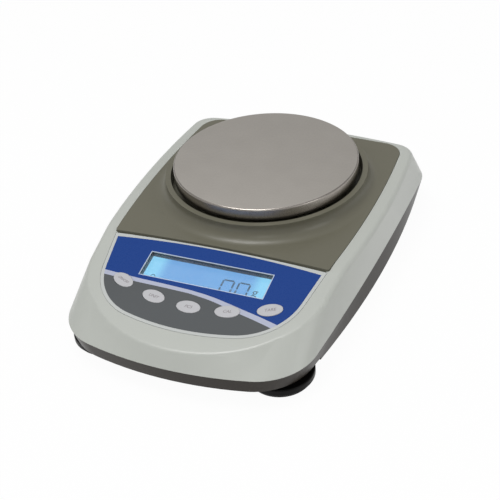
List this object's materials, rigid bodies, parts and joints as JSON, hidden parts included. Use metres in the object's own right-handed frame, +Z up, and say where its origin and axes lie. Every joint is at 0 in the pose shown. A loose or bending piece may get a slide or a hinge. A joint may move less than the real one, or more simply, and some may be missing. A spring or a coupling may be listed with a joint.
{
  "type": "precision balance",
  "caption": "Compact bench balance with a lift-off round steel pan, raised draught ring, sloping key panel with backlit display, and levelling front feet.",
  "frame": {"origin": "on the bench under the middle of the body's outline", "axes": "+X to the user's right, +Y from the keys to the back, +Z up"},
  "size_m": [0.1866, 0.276, 0.0675],
  "materials": {
    "housing_plastic": "fine satin moulded plastic, light grey",
    "base_plastic": "satin moulded plastic, dark brown-grey",
    "plate_plastic": "satin moulded plastic, taupe",
    "panel_film": "printed polyester film, blue and grey with a pale stripe",
    "window": "clear acrylic, polished",
    "frame_plastic": "dark moulded plastic",
    "lcd_glass": "backlit liquid crystal cell, light blue",
    "light_guide": "milky light guide",
    "circuit_board": "green solder mask",
    "components": "black epoxy and connector housings",
    "switch_plastic": "black moulded plastic",
    "key_plastic": "satin moulded plastic, off-white with printed legends",
    "cable_jacket": "flexible vinyl jacket, grey",
    "pan_steel": "fine satin stainless steel",
    "cell_aluminium": "machined aluminium",
    "cast_aluminium": "die-cast aluminium",
    "zinc_steel": "zinc-plated steel",
    "sealant": "white silicone potting",
    "soft_rubber": "black moulded rubber",
    "foot_plastic": "black moulded plastic",
    "brass": "turned brass"
  },
  "bodies": {
    "case": {"lower_base": "base_plastic", "upper_housing": "housing_plastic", "top_plate": "plate_plastic", "plate_screws": "zinc_steel", "panel_film": "panel_film", "display_window": "window", "display_frame": "frame_plastic", "lcd_glass": "lcd_glass", "lcd_backlight": "light_guide", "display_board": "circuit_board", "display_board_screws": "zinc_steel", "key_switches": "switch_plastic", "chassis_plate": "zinc_steel", "chassis_screws": "zinc_steel", "cell_spacer": "zinc_steel", "load_cell": "cell_aluminium", "gauge_sealant": "sealant", "cell_screws": "zinc_steel", "overload_stop_screw": "zinc_steel", "overload_lock_nut": "zinc_steel", "main_board": "circuit_board", "board_components": "components", "main_board_screws": "zinc_steel", "ribbon_cable": "cable_jacket", "cell_cable": "cable_jacket", "power_lead": "cable_jacket", "dc_jack": "switch_plastic", "dc_jack_nut": "zinc_steel", "foot_inserts": "brass", "rear_feet": "soft_rubber", "housing_screws": "zinc_steel"},
    "platform": {"platform_spacer": "zinc_steel", "platform_plate": "zinc_steel", "platform_screws": "zinc_steel", "pan_support": "cast_aluminium", "pan_support_screw": "zinc_steel", "pan_cushions": "soft_rubber"},
    "pan": {"weighing_pan": "pan_steel"},
    "key_on_off": {"key_on_off": "key_plastic"},
    "key_unit": {"key_unit": "key_plastic"},
    "key_count": {"key_count": "key_plastic"},
    "key_calibrate": {"key_calibrate": "key_plastic"},
    "key_tare": {"key_tare": "key_plastic"},
    "left_pad": {"left_foot_pad": "soft_rubber"},
    "left_wheel": {"left_foot_wheel": "foot_plastic", "left_foot_stud": "zinc_steel"},
    "right_pad": {"right_foot_pad": "soft_rubber"},
    "right_wheel": {"right_foot_wheel": "foot_plastic", "right_foot_stud": "zinc_steel"}
  },
  "joints": [
    {"name": "load_travel", "type": "slide", "parent": "case", "child": "platform", "axis": [0, 0, -1], "range_m": [0, 0.0004], "stiffness_N_per_m": 24500, "springref_m": -0.0002, "deforming": ["load_cell"]},
    {"name": "pan_lift", "type": "slide", "parent": "platform", "child": "pan", "axis": [0, 0, 1], "range_m": [0, 0.06]},
    {"name": "key_on_off_press", "type": "slide", "parent": "case", "child": "key_on_off", "axis": [0, 0.1954, -0.9807], "range_m": [0, 0.0005], "stiffness_N_per_m": 3000},
    {"name": "key_unit_press", "type": "slide", "parent": "case", "child": "key_unit", "axis": [0, 0.1954, -0.9807], "range_m": [0, 0.0005], "stiffness_N_per_m": 3000},
    {"name": "key_count_press", "type": "slide", "parent": "case", "child": "key_count", "axis": [0, 0.1954, -0.9807], "range_m": [0, 0.0005], "stiffness_N_per_m": 3000},
    {"name": "key_calibrate_press", "type": "slide", "parent": "case", "child": "key_calibrate", "axis": [0, 0.1954, -0.9807], "range_m": [0, 0.0005], "stiffness_N_per_m": 3000},
    {"name": "key_tare_press", "type": "slide", "parent": "case", "child": "key_tare", "axis": [0, 0.1954, -0.9807], "range_m": [0, 0.0005], "stiffness_N_per_m": 3000},
    {"name": "left_foot_travel", "type": "slide", "parent": "case", "child": "left_pad", "axis": [0, 0, -1], "range_m": [0, 0.005]},
    {"name": "left_foot_turn", "type": "hinge", "parent": "left_pad", "child": "left_wheel", "pos_m": [-0.0616, -0.0995, 0.005], "axis": [0, 0, -1], "range_deg": [0, 1800]},
    {"name": "right_foot_travel", "type": "slide", "parent": "case", "child": "right_pad", "axis": [0, 0, -1], "range_m": [0, 0.005]},
    {"name": "right_foot_turn", "type": "hinge", "parent": "right_pad", "child": "right_wheel", "pos_m": [0.0616, -0.0995, 0.005], "axis": [0, 0, -1], "range_deg": [0, 1800]}
  ],
  "couplings": [
    {"joint": "left_foot_travel", "follows": "left_foot_turn", "m_per_rad": 0.00015915},
    {"joint": "right_foot_travel", "follows": "right_foot_turn", "m_per_rad": 0.00015915}
  ]
}
